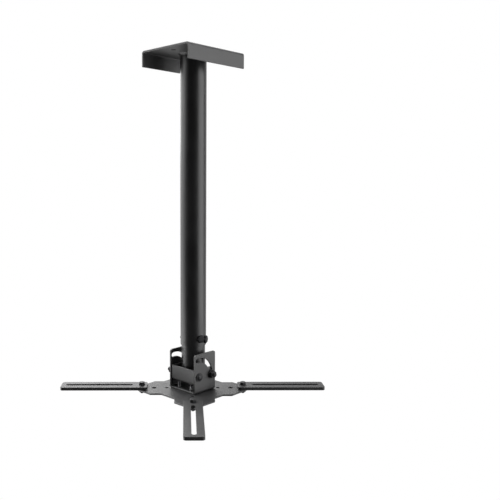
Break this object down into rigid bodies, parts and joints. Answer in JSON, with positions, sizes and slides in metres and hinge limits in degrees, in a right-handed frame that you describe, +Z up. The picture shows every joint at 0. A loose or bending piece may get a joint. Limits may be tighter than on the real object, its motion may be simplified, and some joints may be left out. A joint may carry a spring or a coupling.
{
  "type": "projector ceiling mount",
  "caption": "Telescopic ceiling pole mount with a folded ceiling channel, a tilting yoke head and slotted pivoting arms on a lobed plate that carry a projector.",
  "frame": {"origin": "middle of the channel's ceiling face, on the axis of the pole", "axes": "+Z up towards the ceiling along the pole, arms along X and Y at rest"},
  "size_m": [0.499, 0.499, 0.6332],
  "materials": {
    "black_coat": "satin black powder coat",
    "black_fasteners": "black zinc",
    "plain_steel": "uncoated steel"
  },
  "bodies": {
    "ceiling": {"ceiling_bracket": "black_coat", "ceiling_weld": "black_coat", "outer_pole": "black_coat", "clamp_screw": "black_fasteners", "height_bolt": "black_fasteners"},
    "drop_pole": {"inner_pole": "black_coat", "pole_end_plug": "plain_steel", "swivel_bolt": "black_fasteners", "swivel_washer": "black_fasteners"},
    "head": {"yoke": "black_coat", "pivot_screw": "black_fasteners", "pivot_stud": "black_fasteners", "pivot_washers": "black_fasteners", "pivot_nut": "black_fasteners", "lock_bolts": "black_fasteners", "lock_washers": "black_fasteners", "lock_nuts": "black_fasteners"},
    "base": {"tilt_bracket": "black_coat", "bracket_screws": "plain_steel", "base_plate": "black_coat", "arm_bolts": "black_fasteners", "arm_washers": "black_fasteners", "arm_nuts": "black_fasteners"},
    "left_arm": {"arm_left": "black_coat"},
    "front_arm": {"arm_front": "black_coat"},
    "right_arm": {"arm_right": "black_coat"},
    "rear_arm": {"arm_rear": "black_coat"}
  },
  "joints": [
    {"name": "pole_height", "type": "slide", "parent": "ceiling", "child": "drop_pole", "axis": [0, 0, -1], "range_m": [0, 0.3]},
    {"name": "head_swivel", "type": "hinge", "parent": "drop_pole", "child": "head", "pos_m": [0, 0, -0.592], "axis": [0, 0, 1], "continuous": true},
    {"name": "head_tilt", "type": "hinge", "parent": "head", "child": "base", "pos_m": [-0.01329, -0.01329, -0.592], "axis": [-0.7071, 0.7071, 0], "range_deg": [0, 98]},
    {"name": "left_arm_pivot", "type": "hinge", "parent": "base", "child": "left_arm", "pos_m": [-0.09777, -0.00177, -0.61995], "axis": [0, 0, 1], "range_deg": [-90, 90]},
    {"name": "front_arm_pivot", "type": "hinge", "parent": "base", "child": "front_arm", "pos_m": [-0.00177, -0.09777, -0.61995], "axis": [0, 0, 1], "range_deg": [-90, 90]},
    {"name": "right_arm_pivot", "type": "hinge", "parent": "base", "child": "right_arm", "pos_m": [0.09423, -0.00177, -0.61995], "axis": [0, 0, 1], "range_deg": [-90, 90]},
    {"name": "rear_arm_pivot", "type": "hinge", "parent": "base", "child": "rear_arm", "pos_m": [-0.00177, 0.09423, -0.61995], "axis": [0, 0, 1], "range_deg": [-90, 90]}
  ]
}
